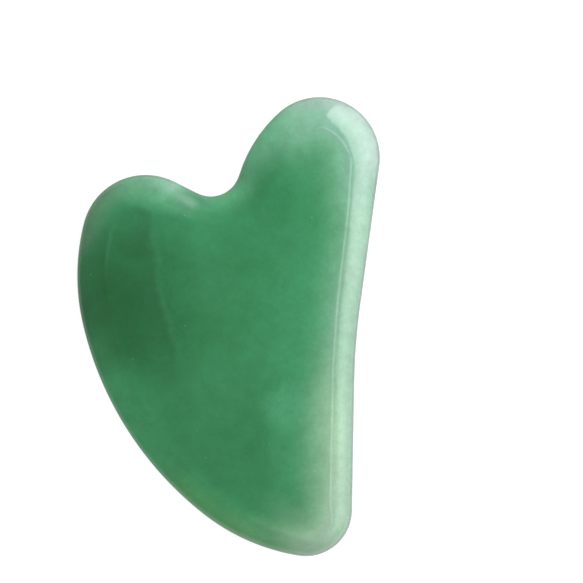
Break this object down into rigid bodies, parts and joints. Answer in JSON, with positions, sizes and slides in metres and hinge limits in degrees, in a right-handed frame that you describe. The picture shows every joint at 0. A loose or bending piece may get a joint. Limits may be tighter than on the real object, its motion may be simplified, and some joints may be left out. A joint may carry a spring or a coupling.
{
  "type": "gua sha scraper",
  "caption": "Flat heart-shaped gua sha scraper of polished green stone, with rounded lobes beside a notch, a long bulging edge, a hollowed edge and a blunt tip.",
  "frame": {"origin": "on the back face, under the middle of the length and of the width", "axes": "+Y along the length towards the tall lobe, +X across the width towards the hollow side, +Z out of the front face"},
  "size_m": [0.0554, 0.084, 0.0065],
  "materials": {
    "stone": "polished"
  },
  "bodies": {
    "root": {"scraper": "stone"}
  },
  "joints": []
}
